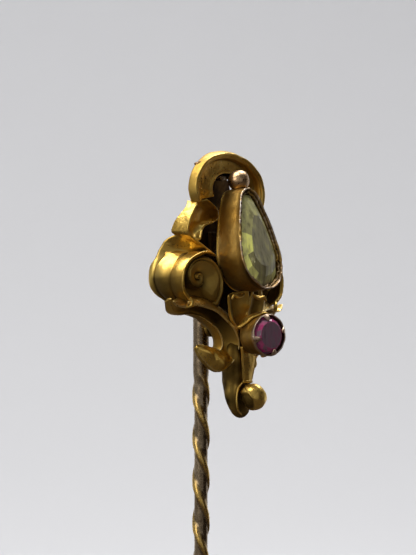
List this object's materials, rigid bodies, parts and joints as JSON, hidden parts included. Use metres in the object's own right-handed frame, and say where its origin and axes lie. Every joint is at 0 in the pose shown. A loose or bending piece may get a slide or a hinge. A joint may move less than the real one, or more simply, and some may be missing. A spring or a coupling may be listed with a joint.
{
  "type": "stick pin",
  "caption": "Ornamental stick pin: a gold scrollwork head with a pear-shaped stone over a round claw-set one, on a straight pin stem with a twisted upper part.",
  "frame": {"origin": "on the stem's axis, at the middle of the plain shank", "axes": "+Z along the stem from the point towards the head, -Y is the front of the head, where the stones face"},
  "size_m": [0.0138, 0.0078, 0.0757],
  "materials": {
    "gold": "worn polished gold",
    "gold_stem": "dull polished gold wire",
    "gold_red": "warm reddish gold, satin",
    "foil": "crinkled foil",
    "pear_gem": "faceted, yellow-green",
    "round_gem": "faceted, purple"
  },
  "bodies": {
    "root": {"pin_stem": "gold_stem", "stem_pad": "gold_stem", "back_frame": "gold", "hood_post": "gold_stem", "hood_back": "gold", "hood_shell": "gold", "top_bead": "gold_red", "leaf_left": "gold", "leaf_right": "gold", "leaf_back_left": "gold", "leaf_back_right": "gold", "volute_left": "gold", "volute_right": "gold", "scroll_left": "gold", "scroll_right": "gold", "pear_post": "gold_stem", "pear_back": "gold", "pear_foil": "foil", "pear_collet": "gold_red", "pear_stone": "pear_gem", "calyx_left": "gold", "calyx_right": "gold", "collet_husk": "gold", "round_post": "gold", "round_collet": "gold_red", "round_foil": "foil", "round_stone": "round_gem", "drop_stalk": "gold", "drop_ball": "gold"}
  },
  "joints": []
}
